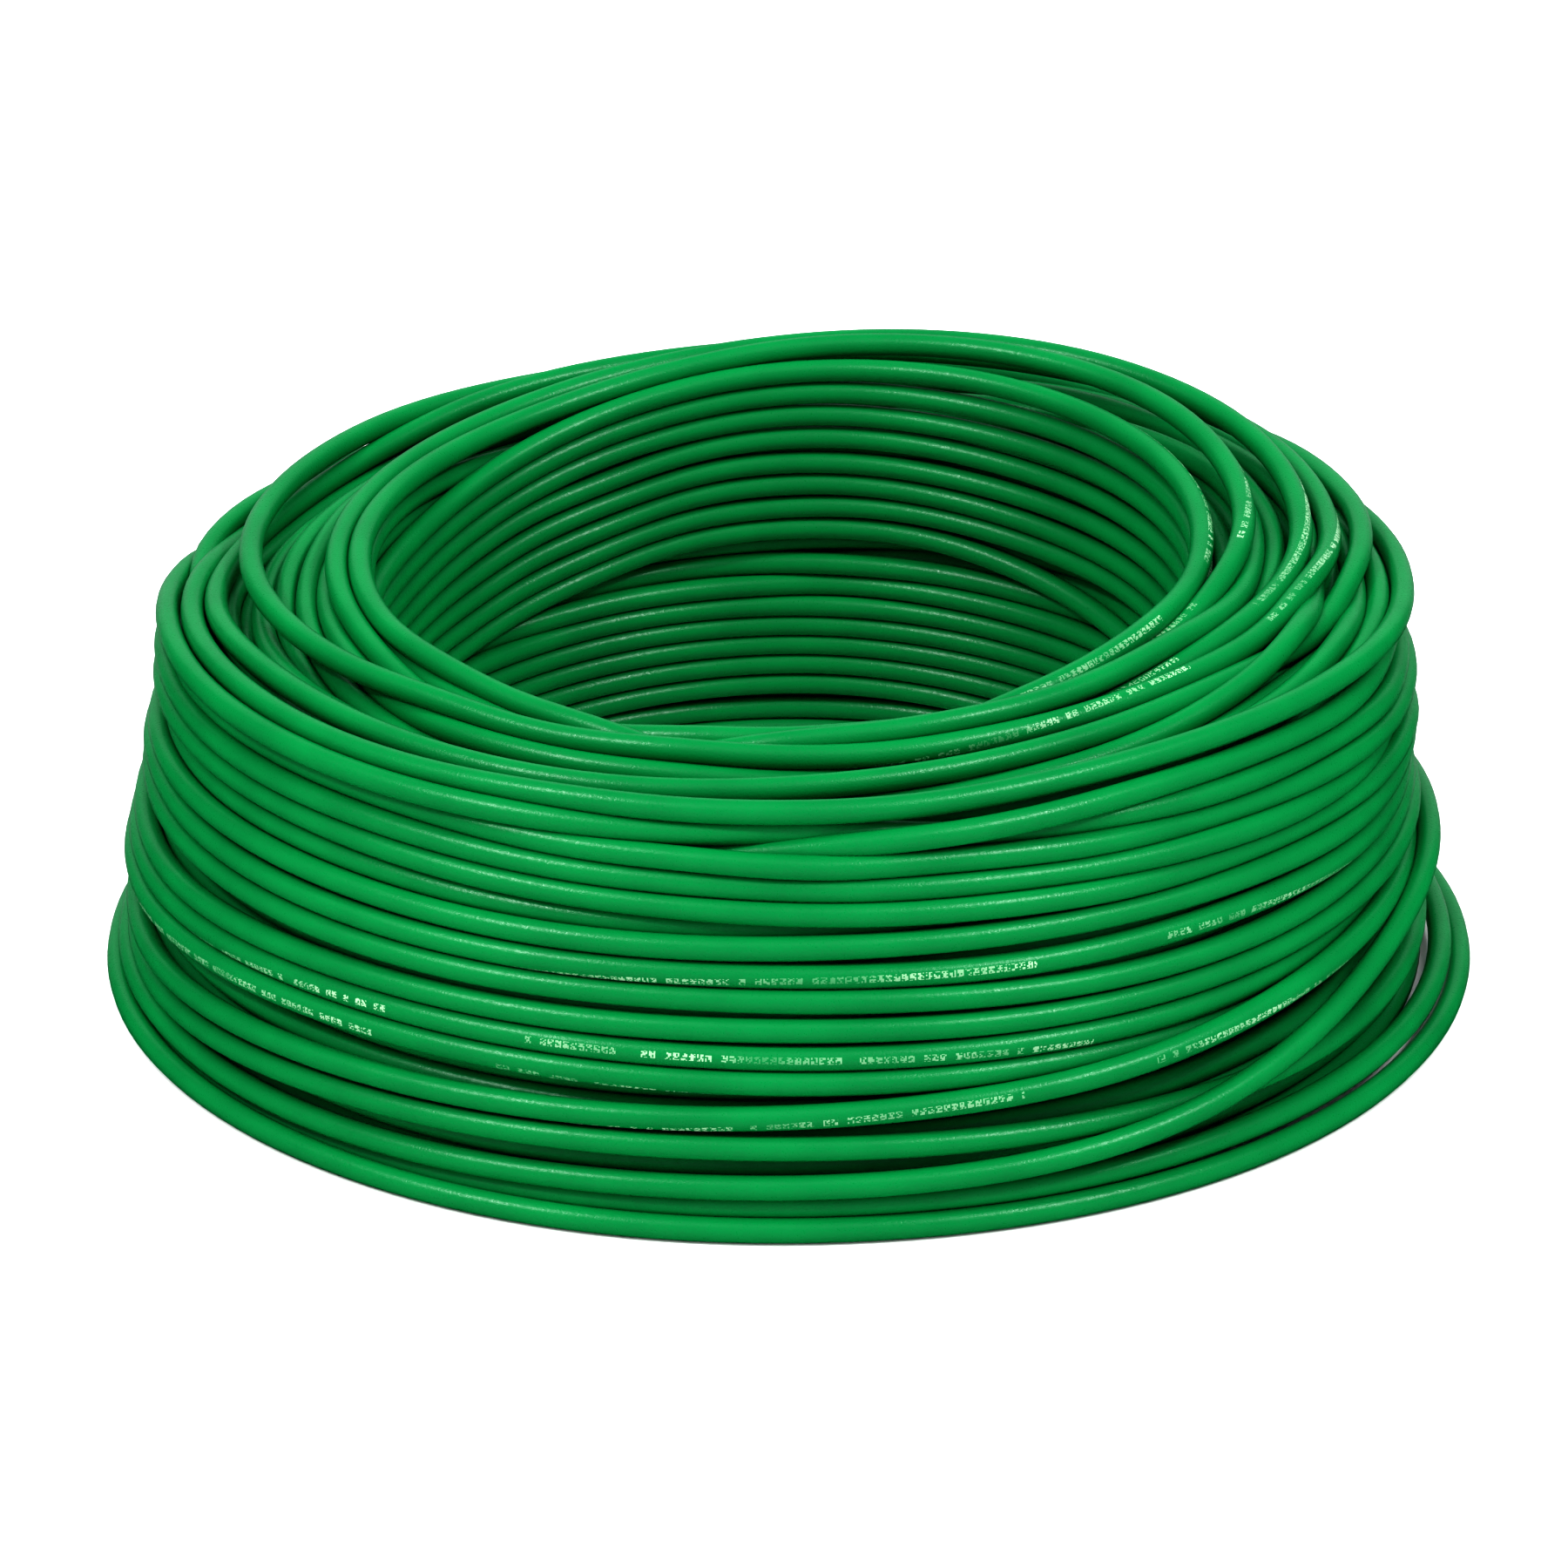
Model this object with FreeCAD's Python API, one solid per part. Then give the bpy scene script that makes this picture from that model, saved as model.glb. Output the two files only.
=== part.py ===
import FreeCAD, Part
import math
import os

# A free-standing coil of stranded building wire, lying flat with its eye upwards.
# Millimetres, +Z up. The origin is on the floor, on the axis of the eye.
# The wire is one length, wound in passes up and down the height of the coil. Each pass is a
# layer, and each layer is a closed annular solid of the pass's outer shape.

# The wire: 12 AWG (3.31 mm2), 19 strands in a PVC jacket
WIRE_D = 3.9
STRAND_D = 0.46
STRAND_PITCH = 0.466
STRANDS_INNER_RING = 6
STRANDS_OUTER_RING = 12

# The winding. Its outer side stands upright up to the belly, and then narrows to the shoulder.
EYE_RADIUS = 66.0
OUTER_RADIUS = 112.7
BELLY_HEIGHT = 4 * WIRE_D
SHOULDER_RADIUS = 26.2 * WIRE_D
LAYER_COUNT = 12

# Heights of the first and last layers on the coil's axis. The first layer, round the eye, stands
# highest, and the tops fall evenly to the shoulder.
CROWN_HEIGHT = 18.9 * WIRE_D
SHOULDER_HEIGHT = 16.2 * WIRE_D

# The tops lean: the coil is taller at its back (+Y) than at its front. Rise per mm along +Y.
CROWN_LEAN = 0.13
SHOULDER_LEAN = 0.05

# The free end of the wire leaves the outermost layer near the floor, at the back of the coil
END_AZIMUTH = 100.0
END_RUN = 24.0
END_TURNS = [7.0, 8.0]
ARC_SHARE = 0.45


def save(name, shape):
    """Write one sub-part, and print its volume."""
    shape.exportStep("parts/" + name + ".step")
    solids = len(shape.Solids)
    print(name, "solids", solids, "volume", round(shape.Volume, 1), "valid", shape.isValid())


def side_radius(share, height):
    """Radius of the surface that lies the given share of the way from the eye to the outside."""
    fall = (height - BELLY_HEIGHT) / (SHOULDER_HEIGHT - BELLY_HEIGHT)
    outside = OUTER_RADIUS + max(fall, 0) * (SHOULDER_RADIUS - OUTER_RADIUS)
    return EYE_RADIUS + share * (outside - EYE_RADIUS)


def lid(height, lean):
    """All that lies above a leaning plane that crosses the coil's axis at the given height."""
    side = 4 * OUTER_RADIUS
    block = Part.makeBox(side, side, side, FreeCAD.Vector(-side / 2, -side / 2, 0))
    block.rotate(FreeCAD.Vector(0, 0, 0), FreeCAD.Vector(1, 0, 0), math.degrees(math.atan(lean)))
    block.translate(FreeCAD.Vector(0, 0, height))
    return block


def layer_top(index):
    """Height on the axis and lean of one layer's top."""
    share = index / (LAYER_COUNT - 1)
    height = CROWN_HEIGHT + share * (SHOULDER_HEIGHT - CROWN_HEIGHT)
    lean = CROWN_LEAN + share * (SHOULDER_LEAN - CROWN_LEAN)
    return height, lean


def winding_layer(index):
    """One pass of the winding: a ring that touches the layers inside and outside it."""
    inner = index / LAYER_COUNT
    outer = (index + 1) / LAYER_COUNT
    height, lean = layer_top(index)
    tall = height + lean * OUTER_RADIUS + WIRE_D
    outline = [FreeCAD.Vector(side_radius(inner, level), 0, level) for level in (0, BELLY_HEIGHT, tall)]
    outline += [FreeCAD.Vector(side_radius(outer, level), 0, level) for level in (tall, BELLY_HEIGHT, 0)]
    section = Part.Face(Part.makePolygon(outline + outline[:1]))
    ring = section.revolve(FreeCAD.Vector(0, 0, 0), FreeCAD.Vector(0, 0, 1), 360)
    return ring.cut(lid(height, lean))


def end_route():
    """Corner points of the free end: straight off the last turn, then bending with the coil."""
    radius = OUTER_RADIUS - WIRE_D / 2
    azimuth = math.radians(END_AZIMUTH)
    point = FreeCAD.Vector(radius * math.cos(azimuth), radius * math.sin(azimuth), WIRE_D / 2)
    heading = azimuth + math.pi / 2
    points = [point]
    for turn in [0.0] + END_TURNS:
        heading += math.radians(turn)
        point = point + FreeCAD.Vector(math.cos(heading), math.sin(heading), 0) * END_RUN
        points.append(point)
    return points


def tangent_path(points):
    """Straight runs joined by the largest tangent arcs that both runs allow."""
    edges = []
    start = points[0]
    for before, corner, after in zip(points, points[1:], points[2:]):
        back = (before - corner).normalize()
        ahead = (after - corner).normalize()
        half_turn = (math.pi - back.getAngle(ahead)) / 2
        reach = ARC_SHARE * min(before.distanceToPoint(corner), after.distanceToPoint(corner))
        radius = reach / math.tan(half_turn)
        print("arc radius", round(radius, 1))
        arc_start = corner + back * reach
        arc_end = corner + ahead * reach
        middle = (back + ahead).normalize()
        arc_middle = corner + middle * (radius / math.cos(half_turn) - radius)
        edges.append(Part.LineSegment(start, arc_start).toShape())
        edges.append(Part.Arc(arc_start, arc_middle, arc_end).toShape())
        start = arc_end
    edges.append(Part.LineSegment(start, points[-1]).toShape())
    return Part.Wire(edges)


def rod(path, points, diameter, offset=0.0, angle=0.0):
    """A round rod along the path, standing off its centre line by the offset, at the angle."""
    ahead = (points[1] - points[0]).normalize()
    up = FreeCAD.Vector(0, 0, 1)
    side = ahead.cross(up)
    centre = points[0] + side * (offset * math.cos(angle)) + up * (offset * math.sin(angle))
    outline = Part.Wire(Part.Circle(centre, ahead, diameter / 2).toShape())
    return path.makePipe(Part.Face(outline))


def strand_ring(path, points, count, ring_radius):
    """Strands evenly spaced round the centre strand."""
    strands = []
    for number in range(count):
        angle = 2 * math.pi * number / count
        strands.append(rod(path, points, STRAND_D, ring_radius, angle))
    return strands


def beyond(points):
    """All that lies past the middle of the second run, where the wire has left the coil."""
    heading = points[2] - points[1]
    middle = points[1] + heading * 0.5
    side = 4 * OUTER_RADIUS
    block = Part.makeBox(side, side, side, FreeCAD.Vector(0, -side / 2, -side / 2))
    block.rotate(FreeCAD.Vector(0, 0, 0), FreeCAD.Vector(0, 0, 1),
                 math.degrees(math.atan2(heading.y, heading.x)))
    block.translate(middle)
    return block


def trimmed(shapes, region):
    """The stretch of each rod that lies in the region, as one compound."""
    return Part.makeCompound([shape.common(region) for shape in shapes])


def build_layers():
    for index in range(LAYER_COUNT):
        save("winding_layer_%02d" % (index + 1), winding_layer(index))


def build_free_end():
    """The jacket and the 19 strands of the free end, cut off square."""
    points = end_route()
    path = tangent_path(points)
    coil = Part.makeCylinder(OUTER_RADIUS, BELLY_HEIGHT)
    open_end = beyond(points)
    whole = rod(path, points, WIRE_D)
    print("rod volume over section x length",
          whole.Volume / (math.pi / 4 * WIRE_D ** 2 * path.Length))
    bore = rod(path, points, 5 * STRAND_PITCH).common(open_end)
    centre = [rod(path, points, STRAND_D)]
    inner = strand_ring(path, points, STRANDS_INNER_RING, STRAND_PITCH)
    outer = strand_ring(path, points, STRANDS_OUTER_RING, 2 * STRAND_PITCH)
    save("wire_end_jacket", whole.cut(coil).cut(bore))
    save("conductor_centre_strand", trimmed(centre, open_end))
    save("conductor_inner_strands", trimmed(inner, open_end))
    save("conductor_outer_strands", trimmed(outer, open_end))


os.makedirs("parts", exist_ok=True)
build_layers()
build_free_end()
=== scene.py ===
import math

import bpy
import numpy as np
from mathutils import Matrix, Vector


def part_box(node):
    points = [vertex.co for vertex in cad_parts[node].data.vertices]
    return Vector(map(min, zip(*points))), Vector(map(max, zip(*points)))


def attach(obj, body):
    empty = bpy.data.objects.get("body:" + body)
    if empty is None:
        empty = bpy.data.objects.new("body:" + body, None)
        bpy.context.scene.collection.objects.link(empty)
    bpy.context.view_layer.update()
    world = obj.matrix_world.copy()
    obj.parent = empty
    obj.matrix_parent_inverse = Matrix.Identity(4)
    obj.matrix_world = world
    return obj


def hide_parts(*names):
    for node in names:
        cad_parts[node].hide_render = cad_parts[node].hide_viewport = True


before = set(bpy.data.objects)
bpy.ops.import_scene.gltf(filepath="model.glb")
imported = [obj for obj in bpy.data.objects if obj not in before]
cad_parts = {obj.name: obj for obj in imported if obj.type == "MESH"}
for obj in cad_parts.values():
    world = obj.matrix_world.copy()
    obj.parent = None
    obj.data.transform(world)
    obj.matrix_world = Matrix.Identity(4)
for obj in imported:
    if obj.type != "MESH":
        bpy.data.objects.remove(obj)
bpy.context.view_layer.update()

# ---------------------------------------------------------------- driving dimensions
# The wire is in metres. The winding is worked out in wire diameters, and wind_coil turns it into metres.

WIRE_D = 0.0039
STRAND_D = 0.00046
STRAND_PITCH = 0.000466
STRAND_RINGS = [
    ("conductor_centre_strand", 1), ("conductor_inner_strands", 6), ("conductor_outer_strands", 12),
]
STRAND_LAY = 0.035
BORE_D = 5 * STRAND_PITCH

# The free end's corner points past the last turn, in metres, and the share of a turn over which the
# last one runs out to it
FREE_END = [(-0.0429, 0.1049, 0.00195), (-0.0658, 0.0979, 0.00195), (-0.0876, 0.0877, 0.00195)]
END_TURN = 0.1

LAYERS = [name for name in sorted(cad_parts) if name.startswith("winding_layer")]


def outer_radius(node):
    """Outer radius of one CAD layer at its foot, in wire diameters."""
    low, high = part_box(node)
    return (high[0] - low[0]) / 2 / WIRE_D


OUTER_RADIUS = outer_radius(LAYERS[-1])
PITCH = OUTER_RADIUS - outer_radius(LAYERS[-2])
EYE_RADIUS = outer_radius(LAYERS[0]) - PITCH

# The outer side stands upright up to the belly, and then narrows to the shoulder
BELLY_HEIGHT, SHOULDER_RADIUS = 4.0, 26.2

# Heights of the first and last layers on the coil's axis. Their tops lean to the back and right:
# rise per wire diameter along +X and along +Y. The top of the coil has also slid that way.
CROWN, CROWN_LEAN, CROWN_SLIDE = 18.3, (0.03, 0.08), (0.6, 1.0)
SHOULDER, SHOULDER_LEAN, SHOULDER_SLIDE = 15.8, (0.035, 0.02), (0.0, 1.1)

# Turns in each layer, from the eye outwards. The wire starts on the floor, at the front of the eye,
# and the layers run up and down by turns. The last one runs down, to the free end. Each turn has
# this many stations.
TURNS = [19.0, 16.4, 15.8, 15.6, 15.4, 15.1, 14.9, 14.6, 14.2, 13.7, 13.3, 18.5278]
STATIONS = 72
START_AZIMUTH = -math.pi / 2

# The wire is modelled in one piece for each layer. Where a layer ends at the top, the seam lies this
# many turns further along or back, out of sight.
SEAM_SHIFTS = [0, 3, 0, 2, 0, 2, 0, 2, 0, 2, 0, -1, 0]

# The first layer's turns round the eye, from the floor up: heights at these azimuths in degrees.
# The front is at -90, and the right at 0. The upper half has been lifted at the back and right.
EYE_AZIMUTHS = (-90, 0, 30, 60, 90, 120, 150, 180)
EYE_TURNS = [
    (0.5, 0.5, 0.5, 0.5, 0.5, 0.5, 0.5, 0.5),
    (1.4, 1.5, 1.5, 1.6, 1.6, 1.5, 1.5, 1.4),
    (2.3, 2.5, 2.6, 2.6, 2.6, 2.5, 2.4, 2.3),
    (3.2, 3.3, 3.4, 3.5, 3.4, 3.3, 3.2, 3.2),
    (4.0, 4.2, 4.3, 4.6, 5.1, 4.5, 4.2, 4.1),
    (4.9, 5.3, 5.6, 5.9, 6.0, 5.7, 5.2, 5.0),
    (5.8, 6.3, 6.6, 6.7, 6.8, 6.6, 6.1, 5.9),
    (6.7, 7.2, 7.4, 7.4, 7.5, 7.4, 7.1, 6.8),
    (7.6, 8.1, 8.2, 8.2, 8.3, 8.2, 7.9, 7.7),
    (8.4, 9.0, 9.3, 9.6, 9.4, 8.9, 8.7, 8.4),
    (9.2, 9.8, 10.2, 10.5, 10.3, 9.9, 9.5, 9.0),
    (8.6, 9.0, 10.0, 12.1, 12.6, 10.9, 8.7, 8.2),
    (10.0, 11.6, 12.5, 13.1, 13.6, 11.8, 9.7, 9.2),
    (10.9, 12.9, 13.6, 14.0, 14.6, 12.9, 10.7, 10.0),
    (11.8, 14.0, 14.8, 15.1, 15.6, 14.0, 11.8, 10.9),
    (12.7, 15.2, 16.0, 16.3, 16.7, 15.2, 12.9, 11.9),
    (13.6, 16.3, 17.2, 17.5, 17.8, 16.3, 14.0, 12.9),
    (14.5, 17.6, 18.4, 18.7, 18.8, 17.3, 14.9, 13.9),
    (15.4, 18.9, 19.6, 20.0, 19.7, 18.0, 15.6, 15.0),
]

# How far some of those turns stand back from the eye: turn, azimuth, wire diameters
SET_BACK = [
    (3, 0, 0.0), (3, 90, 0.5), (3, 180, 0.2), (4, 60, 0.0), (7, 0, 0.0), (8, 30, 0.2), (8, 90, 0.1),
    (9, 30, 0.3), (9, 90, 0.4), (9, 150, 0.6), (10, 0, 0.7), (10, 40, 0.5), (10, 100, 0.6), (10, 150, 0.8),
    (10, 200, 0.0), (11, 0, 0.0),
]

# The last layer's turns across the front of the coil, from the top down, where each lies slack in
# its own way: heights at these azimuths in degrees. The front is at -90, and the right at 0.
FRONT_AZIMUTHS = (-170, -130, -90, -60, -40, -15)
FRONT_TURNS = [
    (15.4, 15.6, 15.5, 15.0, 14.7, 14.0),
    (14.5, 14.9, 14.7, 14.0, 13.6, 12.9),
    (14.0, 14.1, 13.6, 13.3, 12.9, 12.2),
    (13.2, 13.5, 12.8, 12.7, 12.5, 11.9),
    (10.8, 11.4, 11.4, 11.5, 11.4, 11.3),
    (10.0, 10.4, 10.3, 10.2, 10.1, 10.1),
    (9.2, 9.6, 9.6, 9.0, 8.7, 9.0),
    (6.9, 8.0, 8.5, 7.9, 7.9, 8.2),
    (6.1, 7.3, 7.3, 7.0, 7.2, 7.4),
    (5.6, 6.6, 6.4, 6.2, 5.9, 6.2),
    (3.3, 4.5, 5.0, 5.9, 6.6, 7.2),
    (2.0, 3.4, 4.0, 3.5, 3.0, 3.2),
    (1.3, 1.6, 2.3, 2.7, 4.9, 7.2),
    (0.6, 0.6, 1.2, 1.4, 1.5, 1.6),
    (0.5, 0.5, 0.5, 0.5, 0.5, 0.5),
]

# How far some of those turns stand proud of the rest: turn, azimuth, wire diameters
PROUD = [
    (0, -150, 0.3), (0, -120, 0.2), (0, -90, 0.0),
    (10, -90, 0.0), (10, -50, 0.6), (10, -15, 0.3), (10, 60, 0.0),
    (12, -100, 0.0), (12, -60, 0.8), (12, -40, 1.0), (12, -10, 1.6), (12, 40, 0.8), (12, 90, 0.0),
    (13, -60, 0.0), (13, -20, 0.6), (13, 20, 0.0),
    (14, -90, 0.2), (14, -40, 0.9), (14, 0, 1.0), (14, 60, 0.4), (14, 100, 0.4),
]

# Where the outside is pushed in: azimuth, height, reach round in degrees, reach up, how far
DENTS = [(0, 5.0, 32, 2.6, 2.2), (0, 9.5, 30, 3.0, 0.8), (180, 3.0, 25, 1.5, 0.7), (180, 10.0, 40, 4.0, 0.5)]

# The rim of the eye and the turn that lies on it, which begin the second layer: turns from its
# start, radius, height
RIM = [
    (-0.10, 17.5, 15.8), (0.00, 17.7, 16.3), (0.10, 17.6, 16.6), (0.16, 17.9, 17.5), (0.20, 18.6, 18.2),
    (0.25, 19.4, 19.0), (0.34, 19.7, 20.5), (0.41, 19.4, 20.8), (0.46, 18.7, 20.7), (0.50, 18.3, 20.4),
    (0.56, 18.3, 19.2), (0.61, 18.4, 18.3), (0.69, 18.0, 17.9), (0.76, 17.8, 17.5), (0.83, 17.7, 16.9),
    (0.92, 18.0, 16.0), (1.00, 18.4, 15.5), (1.10, 18.5, 16.1), (1.14, 19.1, 16.8), (1.20, 20.8, 17.5),
    (1.26, 21.9, 18.3), (1.32, 22.5, 19.5), (1.36, 22.2, 20.0), (1.39, 21.6, 20.4), (1.46, 20.6, 20.3),
    (1.53, 19.8, 19.6), (1.61, 19.5, 18.4), (1.69, 19.1, 17.7), (1.75, 18.7, 17.4), (1.83, 18.7, 16.4),
    (1.92, 18.9, 15.3), (2.00, 19.0, 14.6),
]

# The slack turns that cross over the top of the coil and begin the last layer: turns from its
# start, radius, height
TOP_CROSSING = [
    (0.00, 24.8, 15.2), (0.25, 25.0, 15.6), (0.33, 25.4, 16.4), (0.42, 25.9, 17.0), (0.50, 26.2, 17.2),
    (0.54, 26.0, 17.0), (0.61, 25.3, 17.1), (0.67, 24.0, 17.1), (0.75, 22.4, 17.0), (0.81, 20.9, 16.8),
    (0.86, 19.8, 16.6), (0.92, 19.2, 16.4), (1.00, 19.0, 16.3), (1.09, 19.3, 16.5), (1.13, 19.8, 16.8),
    (1.19, 21.2, 17.3), (1.24, 22.5, 17.5), (1.28, 23.4, 17.6), (1.33, 24.5, 18.2), (1.42, 24.7, 18.5),
    (1.50, 24.6, 18.2), (1.60, 24.5, 17.3), (1.67, 23.9, 15.3), (1.75, 24.2, 15.7), (1.80, 23.2, 16.3),
    (1.84, 22.9, 16.4), (1.89, 23.0, 16.4), (1.95, 22.8, 16.3), (2.00, 21.9, 16.3), (2.08, 21.0, 16.5),
    (2.16, 21.1, 16.8), (2.20, 22.4, 16.9), (2.23, 23.5, 17.0), (2.26, 24.4, 17.1), (2.29, 25.2, 17.1),
    (2.33, 26.2, 17.1), (2.42, 26.8, 16.4), (2.50, 26.6, 15.4), (2.61, 25.8, 14.2), (2.67, 25.4, 14.5),
    (2.75, 25.0, 15.4), (2.80, 24.5, 16.1), (2.88, 24.5, 16.2), (2.94, 24.8, 16.2), (3.00, 24.5, 16.2),
    (3.09, 24.1, 16.8), (3.16, 24.8, 16.8), (3.20, 25.4, 16.6), (3.25, 25.9, 16.3), (3.34, 26.9, 15.8),
    (3.42, 26.8, 15.3), (3.50, 26.4, 14.4), (3.60, 26.1, 13.5), (3.67, 26.1, 13.8), (3.75, 26.1, 14.9),
]

# Stretches of the wire, in turns from its start, where the print on its jacket can be seen, and the
# side that it is on: the share of the way round from outwards, through up. Elsewhere the print is
# hidden, underneath the wire, or behind it in the eye.
HIDDEN_SIDE, HIDDEN_SIDE_IN_EYE = -0.25, 0.12
PRINTED = [
    (2.44, 2.52, -0.55), (19.10, 19.27, 0.25), (20.12, 20.27, 0.22), (169.12, 169.25, 0.22),
    (172.50, 172.62, 0.05), (174.62, 174.75, 0.08), (176.45, 176.57, 0.02), (177.03, 177.13, 0.04),
    (178.40, 178.52, 0.08), (179.915, 180.06, 0.04), (180.845, 180.935, 0.0), (182.06, 182.13, 0.05),
    (183.35, 183.48, 0.06), (185.50, 185.60, 0.05),
]

# How far in the last layer's front turns lie from a neat layer's, the height at which a layer's
# radius sets the rise of its top, and the stations over which one value of a table of turns, or of
# a table of crossings, blends into the next
FRONT_SINK = 0.4
LEAN_HEIGHT = 10.0
TURN_BLEND, CROSSING_BLEND = 9, 5

# The settling. At each step, two turns nearer than a diameter each move off by this share of their
# overlap, up to a limit. The wire straightens its bends and evens them out, and its tension and its
# weight pull it inwards and down, in wire diameters. Each point is held to where it was first laid,
# more firmly where that was listed in a table. Turns within reach are looked for again every few steps.
SETTLE_STEPS, STEPS_PER_SEARCH = 300, 15
SEARCH_REACH = 1.5
PUSH, MOST_OVERLAP = 0.35, 0.5
BENDS_PER_STEP = 2
STRAIGHTENING, STIFFNESS = 0.02, 0.03
TENSION, GRAVITY = 0.004, 0.003
HOLD_BY_HAND, HOLD_BY_MACHINE = 0.05, 0.008

# Random drift of the turns: waves in each turn and their sizes, and how much of its drift a turn
# keeps from the turn before it
SLOW_HEIGHT_DRIFT = ([(1, 0.3), (2, 0.2), (3, 0.05)], 0.93)
QUICK_HEIGHT_DRIFT = ([(1, 0.15), (2, 0.1), (3, 0.05)], 0.3)
RADIUS_DRIFT = ([(1, 0.1), (2, 0.1), (3, 0.05)], 0.5)
SEED = 3

# The meshes: sides of the wire and of a strand, points to each stretch of a curve, and rings of the
# open bore at a cut end
WIRE_SIDES, STRAND_SIDES = 14, 10
WIRE_STEPS, FREE_END_STEPS, STRAND_STEPS = 2, 16, 4
BORE_RINGS = 7

# The print on the jacket: metres from mark to mark and from group to group, the share of each that
# isn't a gap, the share of the way round that it takes, the dots across a mark, and the shares of
# the dots and of the marks that carry ink. Its side changes over this many turns.
MARK_PITCH, GROUP_PITCH = 0.0012, 0.11
MARK_LENGTH, GROUP_LENGTH = 0.8, 0.8
MARK_HEIGHT = 0.09
MARK_DOTS = 5
INKED_DOTS, INKED_MARKS = 0.6, 0.85
PRINT_TURN = 0.1

# Colours of each material, between which it drifts
JACKET_COLOURS = (0.0, 0.160, 0.049, 1), (0.0, 0.185, 0.056, 1)
INK_COLOUR = (0.36, 0.52, 0.36, 1)
COPPER_COLOURS = (0.62, 0.25, 0.12, 1), (0.90, 0.44, 0.24, 1)
FLOOR_COLOURS = (0.86, 0.86, 0.86, 1), (0.9, 0.9, 0.9, 1)

# Softboxes: name, azimuth, elevation, distance, size, watts, whether the coil's gloss shows it.
# Azimuth 0 is the camera's side, and 90 is to the right.
LIGHTS = [
    ("softbox_left", -58, 50, 1.8, 0.22, 9, True),
    ("softbox_right", 54, 50, 1.8, 0.22, 9, True),
    ("softbox_top", 0, 75, 3.0, 3.0, 42, False),
    ("backdrop", 180, 12, 1.6, 2.2, 6, True),
]

# The camera: its distance from a point on the coil's axis and the height of that point, in wire
# diameters, degrees above the point, degrees that it looks down, and millimetres of sensor and lens
CAMERA_DISTANCE, AIM_HEIGHT = 262, 8
CAMERA_ELEVATION, CAMERA_TILT = 23, 23.17
SENSOR_WIDTH, FOCAL_LENGTH = 36, 142


# ---------------------------------------------------------------- the winding

def smoothstep(x):
    """0 up to 0, 1 from 1 on, and an S-shaped rise between them."""
    x = np.clip(x, 0, 1)
    return x * x * (3 - 2 * x)


class Winding:
    """The whole wire as points at every station: azimuth, layer, and how far through the layer.
    The arrays have size points, a whole number of turns, of which the wire takes up the first count."""

    def __init__(self):
        starts = np.concatenate([[0], np.cumsum(TURNS)])
        self.count = int(round(starts[-1] * STATIONS))
        self.turns = math.ceil(starts[-1])
        self.size = self.turns * STATIONS
        index = np.arange(self.size)
        self.along = index / STATIONS
        self.azimuth = START_AZIMUTH + 2 * np.pi * self.along
        self.layer = np.clip(np.searchsorted(starts, self.along, side="right") - 1, 0, len(TURNS) - 1)
        self.share = (self.along - starts[self.layer]) / np.array(TURNS)[self.layer]
        self.depth = self.layer / (len(TURNS) - 1)
        self.starts = starts
        self.splits = [int(round((s + shift) * STATIONS)) for s, shift in zip(starts, SEAM_SHIFTS)]


def side_radius(share, height):
    """Radius of the surface that lies the given share of the way from the eye to the outside."""
    fall = np.maximum((height - BELLY_HEIGHT) / (SHOULDER - BELLY_HEIGHT), 0)
    outside = OUTER_RADIUS + fall * (SHOULDER_RADIUS - OUTER_RADIUS)
    return EYE_RADIUS + share * (outside - EYE_RADIUS)


def toward(wind, inner, outer):
    """What a push along X and Y adds to the radius, blended from the first layer to the last."""
    push_x = inner[0] + wind.depth * (outer[0] - inner[0])
    push_y = inner[1] + wind.depth * (outer[1] - inner[1])
    return push_x * np.cos(wind.azimuth) + push_y * np.sin(wind.azimuth)


def neat_layers(wind):
    """Where a neat machine would lay the wire: up the first layer, down the next, and so on."""
    share = (wind.layer + 0.5) / len(TURNS)
    rise = toward(wind, CROWN_LEAN, SHOULDER_LEAN) * side_radius(share, LEAN_HEIGHT)
    top = CROWN + wind.depth * (SHOULDER - CROWN) + rise
    up = np.where(wind.layer % 2 == 0, wind.share, 1 - wind.share)
    height = 0.5 + (top - 1.0) * up
    slide = toward(wind, CROWN_SLIDE, SHOULDER_SLIDE) * (height / CROWN) ** 2
    return side_radius(share, height) + slide, height


def blended(wind, knots, values, reach):
    """Values that go from knot to knot, each blended into the next over the reach in stations."""
    lines = np.interp(wind.along, knots, values)
    window = np.hanning(reach + 2)
    return np.convolve(np.pad(lines, reach, mode="edge"), window / window.sum(), mode="same")[reach:-reach]


def turn_knots(first, turns, azimuths, lowest):
    """Where along the wire each turn of a table passes each of its azimuths."""
    return [first + turn + ((azimuth - lowest) % 360) / 360 for turn in turns for azimuth in azimuths]


def crossing(wind, start, table, radius, height):
    """The stretch of the wire that follows a table of turns from the start, radius, height."""
    along, levels, heights = (np.array(column) for column in zip(*table))
    inside = (wind.along >= start + along[0]) & (wind.along < start + along[-1])
    radius = np.where(inside, blended(wind, start + along, levels, CROSSING_BLEND), radius)
    height = np.where(inside, blended(wind, start + along, heights, CROSSING_BLEND), height)
    return radius, height, inside


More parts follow.
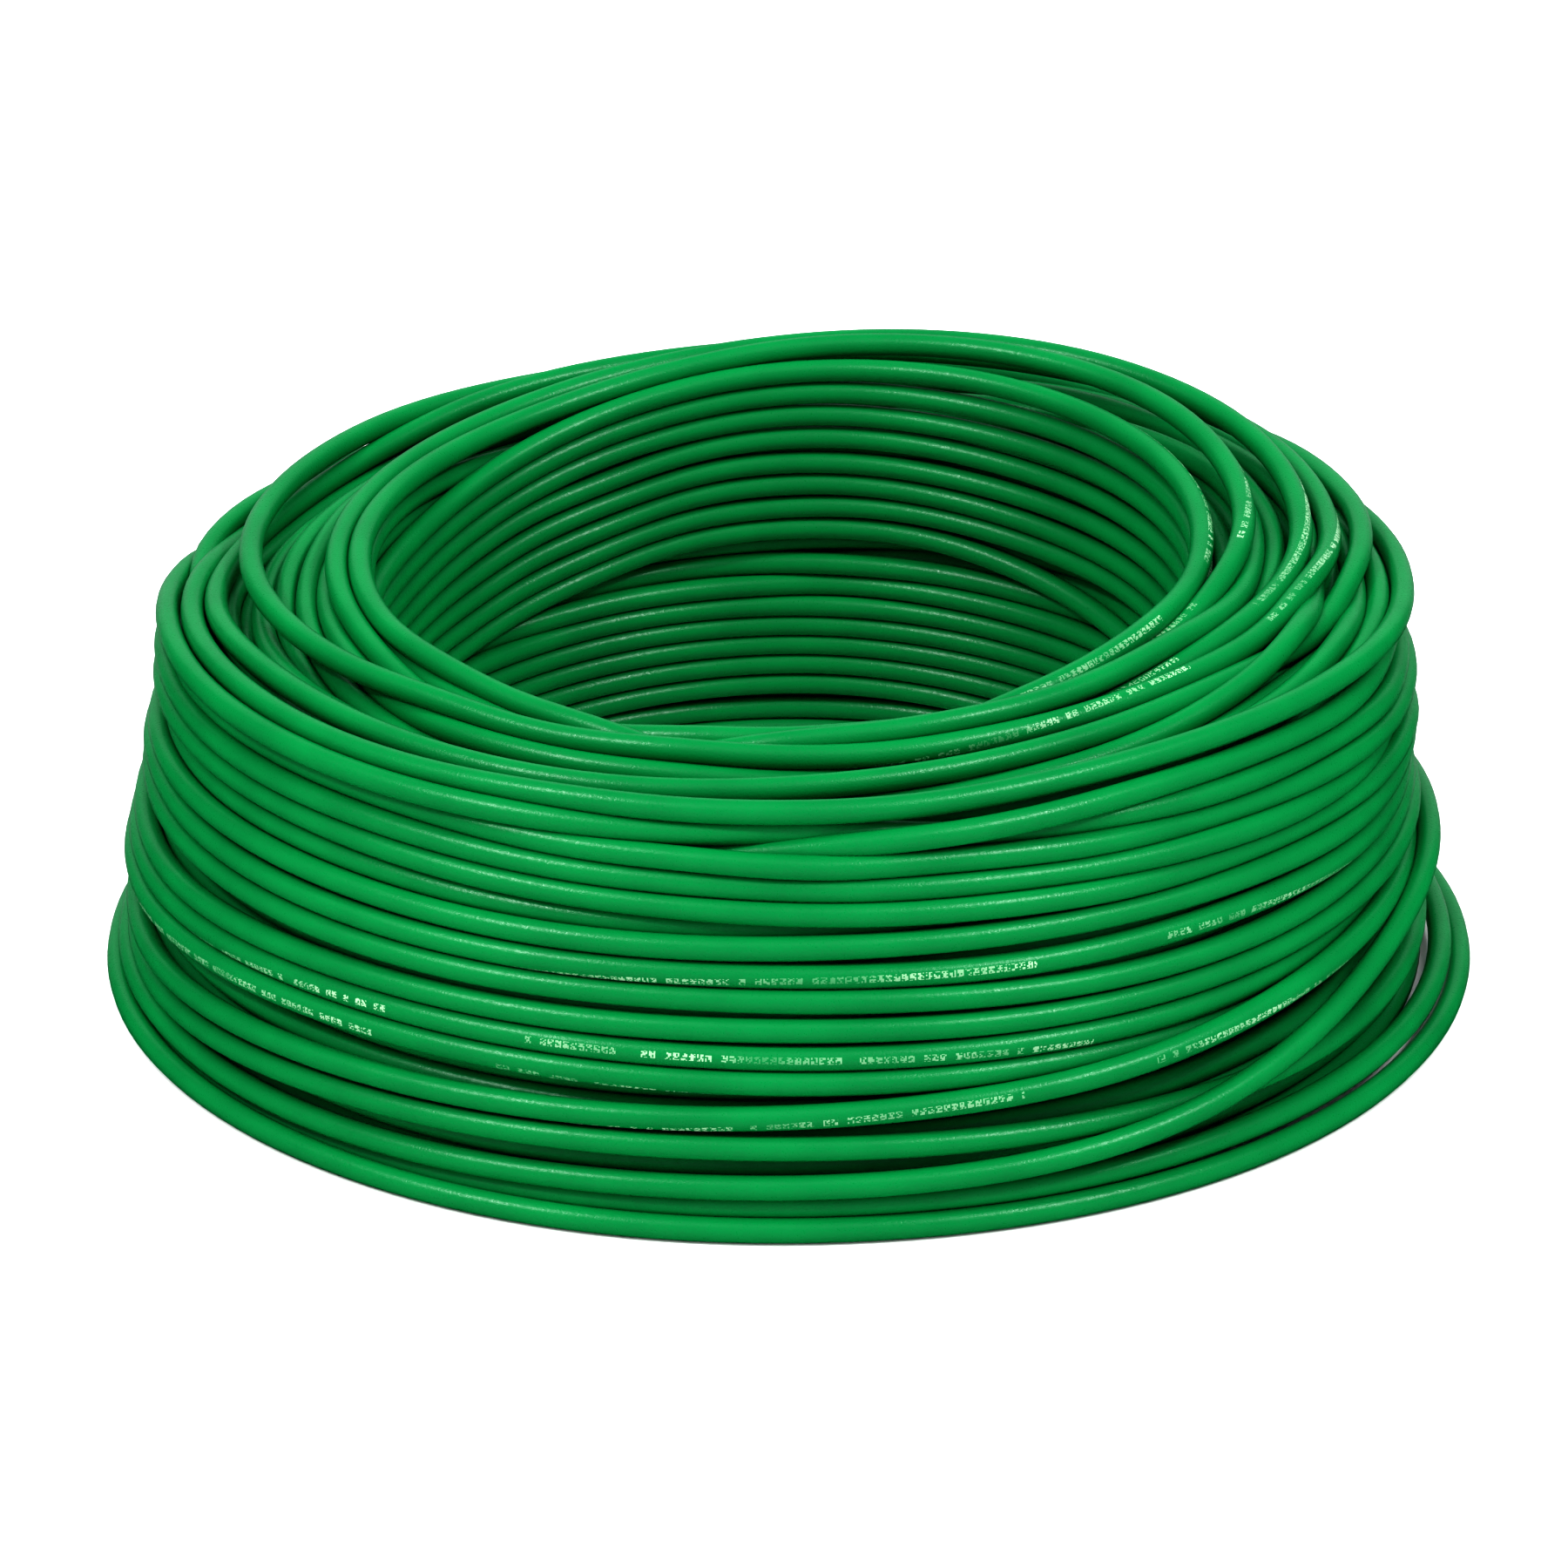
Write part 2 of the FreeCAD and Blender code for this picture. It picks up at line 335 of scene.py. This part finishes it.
def hand_laid(wind, radius, height):
    """The turns that lie as they are listed: the first layer, the top and the last layer."""
    eye = wind.layer == 0
    knots = turn_knots(0, range(len(EYE_TURNS)), EYE_AZIMUTHS, -90)
    height = np.where(eye, blended(wind, knots, np.concatenate(EYE_TURNS), TURN_BLEND), height)
    knots = [turn + (azimuth + 90) / 360 for turn, azimuth, _ in SET_BACK]
    back = blended(wind, knots, [lift for _, _, lift in SET_BACK], TURN_BLEND)
    radius = np.where(eye, EYE_RADIUS + 0.5 + back, radius)

    start = wind.starts[-2]
    first_front = start + TOP_CROSSING[-1][0]
    front = wind.along >= first_front
    knots = turn_knots(first_front, range(len(FRONT_TURNS)), FRONT_AZIMUTHS, -180)
    height = np.where(front, blended(wind, knots, np.concatenate(FRONT_TURNS), TURN_BLEND), height)
    surface = side_radius((len(TURNS) - 0.5) / len(TURNS), height) - FRONT_SINK
    surface += toward(wind, CROWN_SLIDE, SHOULDER_SLIDE) * (height / CROWN) ** 2
    knots = [first_front + turn + (azimuth + 180) / 360 for turn, azimuth, _ in PROUD]
    proud = blended(wind, knots, [lift for _, _, lift in PROUD], TURN_BLEND)
    radius = np.where(front, surface + proud, radius)

    radius, height, rim = crossing(wind, wind.starts[1], RIM, radius, height)
    radius, height, top = crossing(wind, start, TOP_CROSSING, radius, height)
    return radius, height, eye | front | rim | top


def dented(wind, radius, height):
    """The radius where the outside is pushed in, most at the last layer and not at all at the first."""
    degrees = np.degrees(wind.azimuth)
    for azimuth, level, reach, rise, depth in DENTS:
        away = (degrees - azimuth + 180) % 360 - 180
        fade = np.exp(-(away / reach) ** 2 - ((height - level) / rise) ** 2)
        radius = radius - depth * wind.depth ** 2 * fade
    return radius


def drift(rng, wind, orders, memory):
    """Smooth random drift: waves round the azimuth whose sizes change from turn to turn."""
    out = np.zeros(wind.size)
    turn = wind.along.astype(int)
    blend = smoothstep(wind.along - turn)
    for order, size in orders:
        for wave in (np.cos(order * wind.azimuth), np.sin(order * wind.azimuth)):
            weight = rng.standard_normal(wind.turns + 2)
            for number in range(1, wind.turns + 2):
                fresh = math.sqrt(1 - memory ** 2) * weight[number]
                weight[number] = memory * weight[number - 1] + fresh
            out += size * wave * (weight[turn] * (1 - blend) + weight[turn + 1] * blend)
    return out


def near_pairs(wind, radius, height, reach):
    """Pairs of points at the same station whose turns lie within reach of each other."""
    r = radius.reshape(wind.turns, STATIONS)
    z = height.reshape(wind.turns, STATIONS)
    firsts, seconds = [], []
    for station in range(STATIONS):
        gap = np.subtract.outer(r[:, station], r[:, station]) ** 2
        gap += np.subtract.outer(z[:, station], z[:, station]) ** 2
        first, second = np.nonzero(np.triu(gap < reach * reach, 1))
        firsts.append(first * STATIONS + station)
        seconds.append(second * STATIONS + station)
    first = np.concatenate(firsts)
    second = np.concatenate(seconds)
    real = second < wind.count
    return first[real], second[real]


def straightened(values):
    """The wire after one step in which it straightens its bends and evens them out."""
    bow = np.zeros(len(values))
    bow[1:-1] = values[2:] + values[:-2] - 2 * values[1:-1]
    change = np.zeros(len(values))
    change[1:-1] = bow[2:] + bow[:-2] - 2 * bow[1:-1]
    return values + STRAIGHTENING * bow - STIFFNESS * change


def settle(wind, radius, height, hold):
    """Turns push each other apart, the wire stays smooth, and gravity lays it on the floor."""
    eye = EYE_RADIUS + 0.5
    home_radius, home_height = radius.copy(), height.copy()
    for step in range(SETTLE_STEPS):
        if step % STEPS_PER_SEARCH == 0:
            first, second = near_pairs(wind, radius, height, SEARCH_REACH)
        dr = radius[first] - radius[second]
        dz = height[first] - height[second]
        gap = np.hypot(dr, dz) + 1e-6
        push = PUSH * np.clip(1 - gap, 0, MOST_OVERLAP) / gap
        for values, part in ((radius, push * dr), (height, push * dz)):
            values += np.bincount(first, part, wind.size) - np.bincount(second, part, wind.size)
        for _ in range(BENDS_PER_STEP):
            radius = straightened(radius)
            height = straightened(height)
        radius += hold * (home_radius - radius)
        radius -= TENSION
        height += hold * (home_height - height) - GRAVITY
        height = np.maximum(height, 0.5)
        radius = np.maximum(radius, eye)
    return radius, height


def wind_coil():
    """The wire's centre line from its inner end to where its free end leaves the coil."""
    rng = np.random.default_rng(SEED)
    wind = Winding()
    radius, height = neat_layers(wind)
    height += drift(rng, wind, *SLOW_HEIGHT_DRIFT)
    height += drift(rng, wind, *QUICK_HEIGHT_DRIFT)
    radius += drift(rng, wind, *RADIUS_DRIFT)
    radius, height, laid = hand_laid(wind, radius, height)
    radius = dented(wind, radius, height)
    height = np.maximum(height, 0.5)
    hold = np.where(laid, HOLD_BY_HAND, HOLD_BY_MACHINE)
    radius, height = settle(wind, radius, height, hold)
    straight = smoothstep((wind.along - wind.starts[-1] + END_TURN) / END_TURN)
    radius += straight * (OUTER_RADIUS - 0.5 - radius)
    height += straight * (0.5 - height)
    points = np.stack([radius * np.cos(wind.azimuth), radius * np.sin(wind.azimuth), height], -1)
    return wind, points[:wind.count] * WIRE_D


def print_side(wind):
    """Which side of the wire its print is on, at every station."""
    knots = [turn for first, last, _ in PRINTED
             for turn in (first - PRINT_TURN, first, last, last + PRINT_TURN)]
    shown = blended(wind, knots, [0, 1, 1, 0] * len(PRINTED), TURN_BLEND)
    seen = np.interp(wind.along, knots, np.repeat([side for _, _, side in PRINTED], 4))
    in_eye = smoothstep(2 * (wind.starts[1] - wind.along))
    hidden = HIDDEN_SIDE + in_eye * (HIDDEN_SIDE_IN_EYE - HIDDEN_SIDE)
    return hidden + shown * (seen - hidden)


# ---------------------------------------------------------------- meshes

def spline_points(name, controls, resolution):
    """Points along the smooth NURBS curve that has these control points."""
    curve = bpy.data.curves.new(name, "CURVE")
    curve.dimensions = "3D"
    curve.resolution_u = resolution
    spline = curve.splines.new("NURBS")
    spline.points.add(len(controls) - 1)
    spline.points.foreach_set("co", np.column_stack([controls, np.ones(len(controls))]).ravel())
    spline.order_u = 3
    spline.use_endpoint_u = True
    holder = bpy.data.objects.new(name, curve)
    bpy.context.scene.collection.objects.link(holder)
    mesh = bpy.data.meshes.new_from_object(holder)
    points = np.empty(len(mesh.vertices) * 3)
    mesh.vertices.foreach_get("co", points)
    bpy.data.objects.remove(holder)
    bpy.data.curves.remove(curve)
    bpy.data.meshes.remove(mesh)
    return points.reshape(-1, 3)


def unit(vectors):
    """The same directions, one unit long."""
    return vectors / np.linalg.norm(vectors, axis=-1, keepdims=True)


def lengths_along(points):
    """Length of the path up to each of its points."""
    steps = np.linalg.norm(np.diff(points, axis=0), axis=1)
    return np.concatenate([[0], np.cumsum(steps)])


def across(points):
    """Unit vectors across the path: one that lies level, on its right, and one that points up."""
    ahead = unit(np.gradient(points, axis=0))
    side = unit(np.cross(ahead, [0, 0, 1]))
    return side, np.cross(side, ahead)


def rings_round(points, radius, sides):
    """Rings of points round the path. Each starts on the right, and goes up first."""
    side, up = across(points)
    turn = 2 * np.pi * np.arange(sides) / sides
    ring = side[:, None] * np.cos(turn)[:, None] + up[:, None] * np.sin(turn)[:, None]
    return points[:, None] + radius * ring


def skin(name, rings, along, print_at, creases):
    """A closed surface over the rings. Its UV map holds metres along and the share round from the print.
    Rings without print have no number for it. The creases are the numbers of the sharp rings."""
    count, sides = rings.shape[:2]
    here = np.arange(count - 1)[:, None] * sides
    this = np.arange(sides)[None, :]
    after = (this + 1) % sides
    quads = np.stack([here + this, here + sides + this, here + sides + after, here + after], -1)
    quads = quads.reshape(-1, 4)
    near, far = along[:-1, None] + 0 * this, along[1:, None] + 0 * this
    low = this / sides + 0.5 - print_at[:, None]
    high = low + 1 / sides
    uv = np.stack([np.stack([near, low[:-1]], -1), np.stack([far, low[1:]], -1),
                   np.stack([far, high[1:]], -1), np.stack([near, high[:-1]], -1)], 2)
    uv[np.isnan(uv).any(axis=(1, 2, 3))] = 0
    caps = np.array([np.arange(sides), (count - 1) * sides + np.arange(sides)[::-1]])
    cap_uv = np.zeros((2 * sides, 2))
    mesh = bpy.data.meshes.new(name)
    mesh.vertices.add(count * sides)
    mesh.vertices.foreach_set("co", rings.ravel())
    corners = np.concatenate([quads.ravel(), caps.ravel()])
    mesh.loops.add(len(corners))
    mesh.loops.foreach_set("vertex_index", corners)
    starts = np.concatenate([np.arange(len(quads)) * 4, len(quads) * 4 + np.arange(2) * sides])
    mesh.polygons.add(len(starts))
    mesh.polygons.foreach_set("loop_start", starts)
    smooth = np.ones(len(starts), dtype=bool)
    smooth[-2:] = False
    layer = mesh.uv_layers.new(name="wire")
    layer.data.foreach_set("uv", np.concatenate([uv.reshape(-1, 2), cap_uv]).ravel())
    mesh.update(calc_edges=True)
    mesh.polygons.foreach_set("use_smooth", smooth)
    ends = np.empty(len(mesh.edges) * 2, dtype=int)
    mesh.edges.foreach_get("vertices", ends)
    first, second = ends.reshape(-1, 2).T // sides
    mesh.edges.foreach_set("use_edge_sharp", (first == second) & np.isin(first, creases))
    piece = bpy.data.objects.new(name, mesh)
    bpy.context.scene.collection.objects.link(piece)
    return piece


def tube(name, points, radius, sides):
    """A round rod along the points, cut off square at both ends."""
    rings = rings_round(points, radius, sides)
    return skin(name, rings, lengths_along(points), np.zeros(len(rings)), [0, len(rings) - 1])


def jacket_tube(name, points, start, print_at, bore_start, bore_end):
    """The wire's jacket along the points, with the conductor's bore open where the wire is cut off."""
    rings = rings_round(points, WIRE_D / 2, WIRE_SIDES)
    bore = rings_round(points, BORE_D / 2, WIRE_SIDES)
    along = start + lengths_along(points)
    creases = [0, len(rings) - 1]
    plain = np.full(BORE_RINGS, np.nan)
    if bore_start:
        rings = np.concatenate([bore[:BORE_RINGS][::-1], rings])
        along = np.concatenate([along[:BORE_RINGS][::-1], along])
        print_at = np.concatenate([plain, print_at])
        creases = [BORE_RINGS - 1, BORE_RINGS, len(rings) - 1]
    if bore_end:
        rings = np.concatenate([rings, bore[-BORE_RINGS:][::-1]])
        along = np.concatenate([along, along[-BORE_RINGS:][::-1]])
        print_at = np.concatenate([print_at, plain])
        creases = [0, len(rings) - BORE_RINGS - 1, len(rings) - BORE_RINGS]
    return skin(name, rings, along, print_at, creases)


def joined(name, pieces):
    """One piece made of several."""
    bpy.ops.object.select_all(action="DESELECT")
    for piece in pieces:
        piece.select_set(True)
    bpy.context.view_layer.objects.active = pieces[0]
    bpy.ops.object.join()
    pieces[0].name = name
    return pieces[0]


# ---------------------------------------------------------------- materials

def material(name):
    """A new material, with its nodes, its links and the shader that they feed."""
    made = bpy.data.materials.new(name)
    made.use_nodes = True
    nodes = made.node_tree.nodes
    nodes.clear()
    shader = nodes.new("ShaderNodeBsdfPrincipled")
    out = nodes.new("ShaderNodeOutputMaterial")
    made.node_tree.links.new(shader.outputs["BSDF"], out.inputs["Surface"])
    return made, nodes, made.node_tree.links, shader


def noise(nodes, links, vector, scale, detail=2.0, roughness=0.5):
    """Soft random patches, from 0 to 1 over the object."""
    node = nodes.new("ShaderNodeTexNoise")
    node.inputs["Scale"].default_value = scale
    node.inputs["Detail"].default_value = detail
    node.inputs["Roughness"].default_value = roughness
    links.new(vector, node.inputs["Vector"])
    return node.outputs["Fac"]


def span(nodes, links, value, low, high, to_low=0.0, to_high=1.0):
    """A value that runs from low to high, made to run from one new end to the other."""
    node = nodes.new("ShaderNodeMapRange")
    node.inputs["From Min"].default_value = low
    node.inputs["From Max"].default_value = high
    node.inputs["To Min"].default_value = to_low
    node.inputs["To Max"].default_value = to_high
    links.new(value, node.inputs["Value"])
    return node.outputs["Result"]


def blend_colour(nodes, links, share, low, high):
    """A colour that goes from one to the other as the share goes from 0 to 1."""
    node = nodes.new("ShaderNodeMix")
    node.data_type = "RGBA"
    links.new(share, node.inputs["Factor"])
    for socket, value in ((node.inputs[6], low), (node.inputs[7], high)):
        if isinstance(value, tuple):
            socket.default_value = value
        else:
            links.new(value, socket)
    return node.outputs[2]


def calc(nodes, links, operation, first, second=0.0):
    """The result of one sum on sockets or plain numbers."""
    node = nodes.new("ShaderNodeMath")
    node.operation = operation
    for socket, value in zip(node.inputs, (first, second)):
        if isinstance(value, float):
            socket.default_value = value
        else:
            links.new(value, socket)
    return node.outputs[0]


def cells(nodes, links, along, around=None):
    """A random number for each whole number along, or for each pair of whole numbers."""
    node = nodes.new("ShaderNodeTexWhiteNoise")
    if around is None:
        node.noise_dimensions = "1D"
        links.new(along, node.inputs["W"])
        return node.outputs["Value"]
    pair = nodes.new("ShaderNodeCombineXYZ")
    links.new(along, pair.inputs["X"])
    links.new(around, pair.inputs["Y"])
    node.noise_dimensions = "2D"
    links.new(pair.outputs["Vector"], node.inputs["Vector"])
    return node.outputs["Value"]


def print_mask(nodes, links):
    """Where the jacket carries ink: lines of small marks that mean nothing, in groups."""
    uv = nodes.new("ShaderNodeUVMap")
    uv.uv_map = "wire"
    parts = nodes.new("ShaderNodeSeparateXYZ")
    links.new(uv.outputs["UV"], parts.inputs["Vector"])
    along = parts.outputs["X"]
    round_wire = calc(nodes, links, "SUBTRACT", calc(nodes, links, "FRACT", parts.outputs["Y"]), 0.5)
    mark = calc(nodes, links, "DIVIDE", along, MARK_PITCH)
    column = calc(nodes, links, "FLOOR", calc(nodes, links, "DIVIDE", along, MARK_PITCH / MARK_DOTS))
    row = calc(nodes, links, "FLOOR", calc(nodes, links, "DIVIDE", round_wire, MARK_HEIGHT / MARK_DOTS))
    ink = calc(nodes, links, "GREATER_THAN", cells(nodes, links, column, row), 1 - INKED_DOTS)
    spaced = calc(nodes, links, "LESS_THAN", calc(nodes, links, "FRACT", mark), MARK_LENGTH)
    chance = cells(nodes, links, calc(nodes, links, "FLOOR", mark))
    word = calc(nodes, links, "GREATER_THAN", chance, 1 - INKED_MARKS)
    group = calc(nodes, links, "FRACT", calc(nodes, links, "DIVIDE", along, GROUP_PITCH))
    grouped = calc(nodes, links, "LESS_THAN", group, GROUP_LENGTH)
    in_line = calc(nodes, links, "LESS_THAN", calc(nodes, links, "ABSOLUTE", round_wire), MARK_HEIGHT / 2)
    for limit in (spaced, word, grouped, in_line):
        ink = calc(nodes, links, "MULTIPLY", ink, limit)
    return ink


def jacket_material():
    """Green PVC: even colour with slight drift, satin, with a fine extruded grain and a pale print."""
    made, nodes, links, shader = material("jacket_pvc")
    place = nodes.new("ShaderNodeNewGeometry").outputs["Position"]
    patches = noise(nodes, links, place, scale=60.0, detail=3.0)
    colour = blend_colour(nodes, links, span(nodes, links, patches, 0.3, 0.7), *JACKET_COLOURS)
    wear = noise(nodes, links, place, scale=40.0, detail=3.0)
    worn = span(nodes, links, wear, 0.35, 0.65, to_low=0.15, to_high=0.85)
    ink = calc(nodes, links, "MULTIPLY", print_mask(nodes, links), worn)
    links.new(blend_colour(nodes, links, ink, colour, INK_COLOUR), shader.inputs["Base Color"])
    grain = noise(nodes, links, place, scale=2600.0, detail=2.0, roughness=0.6)
    links.new(span(nodes, links, grain, 0.3, 0.7, to_low=0.26, to_high=0.40), shader.inputs["Roughness"])
    shader.inputs["Specular IOR Level"].default_value = 0.4
    bump = nodes.new("ShaderNodeBump")
    bump.inputs["Strength"].default_value = 0.8
    bump.inputs["Distance"].default_value = 0.00006
    links.new(grain, bump.inputs["Height"])
    links.new(bump.outputs["Normal"], shader.inputs["Normal"])
    return made


def copper_material():
    """Bright drawn copper, sheared at its end: half metal, as it has little to mirror here."""
    made, nodes, links, shader = material("conductor_copper")
    place = nodes.new("ShaderNodeNewGeometry").outputs["Position"]
    share = noise(nodes, links, place, scale=900.0, detail=3.0)
    links.new(blend_colour(nodes, links, share, *COPPER_COLOURS), shader.inputs["Base Color"])
    links.new(span(nodes, links, share, 0.3, 0.7, to_low=0.3, to_high=0.45), shader.inputs["Roughness"])
    shader.inputs["Metallic"].default_value = 0.5
    return made


def floor_material():
    """Matt near-white, which drifts a little."""
    made, nodes, links, shader = material("floor")
    place = nodes.new("ShaderNodeNewGeometry").outputs["Position"]
    share = noise(nodes, links, place, scale=3.0)
    links.new(blend_colour(nodes, links, share, *FLOOR_COLOURS), shader.inputs["Base Color"])
    shader.inputs["Roughness"].default_value = 0.9
    return made


# ---------------------------------------------------------------- the wire's pieces

def run_controls(wind, points, number):
    """Control points of one layer's stretch of the wire. Its ends lie halfway between stations."""
    first, last = wind.splits[number], wind.splits[number + 1]
    controls = list(points[first:last])
    if number > 0:
        controls.insert(0, (points[first - 1] + points[first]) / 2)
    if number < len(LAYERS) - 1:
        controls.append((points[last - 1] + points[last]) / 2)
    return np.array(controls)


def build_runs(wind, points, jacket):
    """One tube for each layer, where the last also has the free end. Returns the two cut ends' paths."""
    print_at = print_side(wind)
    free_end = spline_points("free_end", np.vstack([points[-1], FREE_END]), FREE_END_STEPS)
    along = 0.0
    for number, node in enumerate(LAYERS):
        first = wind.splits[number]
        final = number == len(LAYERS) - 1
        controls = run_controls(wind, points, number)
        if final:
            controls = np.vstack([controls, free_end[1:]])
        path = spline_points("run", controls, WIRE_STEPS)
        stations = np.linspace(first, first + len(controls), len(path))
        share = np.interp(stations, np.arange(wind.size), print_at)
        piece = jacket_tube("wire_run_%02d" % (number + 1), path, along, share, number == 0, final)
        length = lengths_along(path)[-1]
        along += length
        piece.data.materials.append(jacket)
        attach(piece, "root")
        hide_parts(node)
        if number == 0:
            inner_end = path[:BORE_RINGS][::-1]
    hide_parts("wire_end_jacket")
    print("wire length", round(along, 2))
    return inner_end, path[-BORE_RINGS:]


def strand_ring(path, count, ring_radius):
    """Twisted strands that end where the path ends."""
    path = spline_points("strands", path, STRAND_STEPS)
    side, up = across(path)
    left = lengths_along(path)[-1] - lengths_along(path)
    made = []
    for number in range(count):
        angle = (2 * np.pi * (number / count + left / STRAND_LAY))[:, None]
        centre = path + ring_radius * (side * np.cos(angle) + up * np.sin(angle))
        made.append(tube("strand", centre, STRAND_D / 2, STRAND_SIDES))
    return made


def build_conductor(inner_end, free_end, copper):
    """The 19 copper strands that show at both cut ends of the wire."""
    inner = []
    for ring, (node, count) in enumerate(STRAND_RINGS):
        strands = strand_ring(free_end, count, ring * STRAND_PITCH)
        piece = joined(node.replace("conductor", "copper"), strands)
        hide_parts(node)
        inner += strand_ring(inner_end, count, ring * STRAND_PITCH)
        finish_copper(piece, copper)
    finish_copper(joined("copper_inner_end", inner), copper)


def finish_copper(piece, copper):
    """The strands' material and body."""
    piece.data.materials.append(copper)
    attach(piece, "root")


# ---------------------------------------------------------------- studio

def build_floor():
    """A pale floor, which isn't seen in the coil's gloss."""
    bpy.ops.mesh.primitive_plane_add(size=8)
    floor = bpy.context.object
    floor.name = "floor"
    floor.data.materials.append(floor_material())
    floor.visible_glossy = False


def area_light(name, azimuth, elevation, distance, size, power, shine):
    """A softbox that faces the coil. One without shine lights the coil, and isn't seen in its gloss."""
    a, e = math.radians(azimuth), math.radians(elevation)
    data = bpy.data.lights.new(name, "AREA")
    data.size = size
    data.energy = power
    lamp = bpy.data.objects.new(name, data)
    bpy.context.scene.collection.objects.link(lamp)
    lamp.visible_glossy = shine
    lamp.location = (distance * math.sin(a) * math.cos(e), -distance * math.cos(a) * math.cos(e),
                     distance * math.sin(e))
    lamp.rotation_mode = "QUATERNION"
    lamp.rotation_quaternion = lamp.location.to_track_quat("Z", "Y")


def build_lights():
    """Two small softboxes whose streaks the gloss shows, a wide one overhead, a backdrop, and a white
    world, which isn't seen in the gloss."""
    for light in LIGHTS:
        area_light(*light)
    world = bpy.data.worlds.new("studio")
    bpy.context.scene.world = world
    world.use_nodes = True
    world.node_tree.nodes["Background"].inputs["Color"].default_value = (1, 1, 1, 1)
    world.node_tree.nodes["Background"].inputs["Strength"].default_value = 1.0
    world.cycles_visibility.glossy = False


def build_camera():
    """A long lens, as the photograph shows nearly the same wire width in front and behind."""
    distance = CAMERA_DISTANCE * WIRE_D
    elevation = math.radians(CAMERA_ELEVATION)
    data = bpy.data.cameras.new("camera")
    data.sensor_width = SENSOR_WIDTH
    data.lens = FOCAL_LENGTH
    camera = bpy.data.objects.new("camera", data)
    bpy.context.scene.collection.objects.link(camera)
    rise = AIM_HEIGHT * WIRE_D + distance * math.sin(elevation)
    camera.location = (0, -distance * math.cos(elevation), rise)
    camera.rotation_euler = (math.radians(90 - CAMERA_TILT), 0, 0)
    bpy.context.scene.camera = camera


build_camera()
build_lights()
build_floor()
bpy.context.scene.view_settings.view_transform = "Standard"
bpy.context.scene.view_settings.look = "Very High Contrast"
winding, wire = wind_coil()
inner_end, free_end = build_runs(winding, wire, jacket_material())
build_conductor(inner_end, free_end, copper_material())
